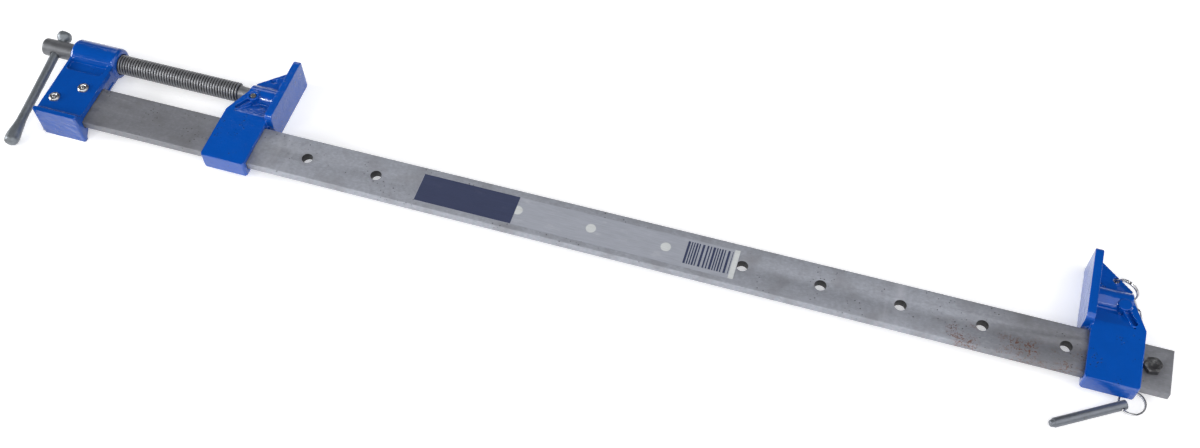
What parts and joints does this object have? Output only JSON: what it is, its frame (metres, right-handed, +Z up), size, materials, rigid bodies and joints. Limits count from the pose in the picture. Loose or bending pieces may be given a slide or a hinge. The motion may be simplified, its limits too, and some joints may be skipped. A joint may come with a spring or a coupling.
{
  "type": "sash clamp",
  "caption": "Sash clamp: a flat drilled bar, a fixed head with a screw and tommy bar, a sliding jaw, and a tail shoe set along the bar by a loose pin on a chain.",
  "frame": {"origin": "under the middle of the clamp, on the surface it lies on", "axes": "+X along the bar from the screw to the tail, +Y from the bar towards the jaws, +Z up, out of the bar's printed face"},
  "size_m": [0.7996, 0.1232, 0.026],
  "materials": {
    "mill_steel": "dull mill finish with fine lengthwise grain",
    "enamel": "gloss enamel over an as-cast surface",
    "forged_steel": "plain machined and forged steel",
    "bright_steel": "bright zinc plate",
    "dark_steel": "black oxide",
    "printed_film": "printed adhesive film"
  },
  "bodies": {
    "root": {"bar": "mill_steel", "head_casting": "enamel", "rivet_near": "bright_steel", "rivet_far": "bright_steel", "stop_bolt": "dark_steel", "stop_nut": "dark_steel", "label": "printed_film"},
    "jaw": {"sliding_jaw": "enamel", "retaining_pin": "bright_steel"},
    "screw": {"screw": "forged_steel"},
    "handle": {"tommy_bar": "forged_steel"},
    "shoe": {"tail_shoe": "enamel"},
    "shoe_ring": {"shoe_ring": "bright_steel"},
    "link_1": {"chain_link_1": "bright_steel"},
    "link_2": {"chain_link_2": "bright_steel"},
    "link_3": {"chain_link_3": "bright_steel"},
    "link_4": {"chain_link_4": "bright_steel"},
    "link_5": {"chain_link_5": "bright_steel"},
    "link_6": {"chain_link_6": "bright_steel"},
    "link_7": {"chain_link_7": "bright_steel"},
    "link_8": {"chain_link_8": "bright_steel"},
    "pin_ring": {"pin_ring": "bright_steel"},
    "pin": {"locking_pin": "bright_steel"}
  },
  "joints": [
    {"name": "screw_turn", "type": "hinge", "parent": "jaw", "child": "screw", "pos_m": [-0.2278, 0.03101, 0.013], "axis": [1, 0, 0], "range_deg": [-15480, 0]},
    {"name": "jaw_travel", "type": "slide", "parent": "root", "child": "jaw", "axis": [1, 0, 0], "range_m": [-0.0911, 0]},
    {"name": "handle_slide", "type": "slide", "parent": "screw", "child": "handle", "axis": [-0.0523, 0.9945, 0.0902], "range_m": [0, 0.05]},
    {"name": "shoe_travel", "type": "slide", "parent": "root", "child": "shoe", "axis": [1, 0, 0], "range_m": [-0.549, 0]},
    {"name": "shoe_ring_swing", "type": "hinge", "parent": "shoe", "child": "shoe_ring", "pos_m": [0.36158, 0.04601, 0.013], "axis": [0, 0, 1], "range_deg": [-2, 2]},
    {"name": "link_1_swing", "type": "hinge", "parent": "shoe_ring", "child": "link_1", "pos_m": [0.37367, 0.04012, 0.00894], "axis": [0, 0, 1], "range_deg": [-3, 3]},
    {"name": "link_2_swing", "type": "hinge", "parent": "link_1", "child": "link_2", "pos_m": [0.37855, 0.03506, 0.00399], "axis": [0, 0, 1], "range_deg": [-8, 8]},
    {"name": "link_3_swing", "type": "hinge", "parent": "link_2", "child": "link_3", "pos_m": [0.38114, 0.0271, 0.00201], "axis": [0, 0, 1], "range_deg": [-8, 8]},
    {"name": "link_4_swing", "type": "hinge", "parent": "link_3", "child": "link_4", "pos_m": [0.38144, 0.01851, 0.00201], "axis": [0, 0, 1], "range_deg": [-8, 8]},
    {"name": "link_5_swing", "type": "hinge", "parent": "link_4", "child": "link_5", "pos_m": [0.38084, 0.00993, 0.00201], "axis": [0, 0, 1], "range_deg": [-8, 8]},
    {"name": "link_6_swing", "type": "hinge", "parent": "link_5", "child": "link_6", "pos_m": [0.38024, 0.00135, 0.00201], "axis": [0, 0, 1], "range_deg": [-8, 8]},
    {"name": "link_7_swing", "type": "hinge", "parent": "link_6", "child": "link_7", "pos_m": [0.38024, -0.00725, 0.00201], "axis": [0, 0, 1], "range_deg": [-8, 8]},
    {"name": "link_8_swing", "type": "hinge", "parent": "link_7", "child": "link_8", "pos_m": [0.38084, -0.01582, 0.00253], "axis": [0, 0, 1], "range_deg": [-8, 8]},
    {"name": "pin_ring_swing", "type": "hinge", "parent": "link_8", "child": "pin_ring", "pos_m": [0.38144, -0.02437, 0.00315], "axis": [0, 0, 1], "range_deg": [-10, 10]},
    {"name": "locking_pin_swing", "type": "hinge", "parent": "pin_ring", "child": "pin", "pos_m": [0.38193, -0.03141, 0.00315], "axis": [0, 0, 1], "range_deg": [-20, 20]}
  ],
  "couplings": [
    {"joint": "jaw_travel", "follows": "screw_turn", "m_per_rad": 0.00033688}
  ]
}
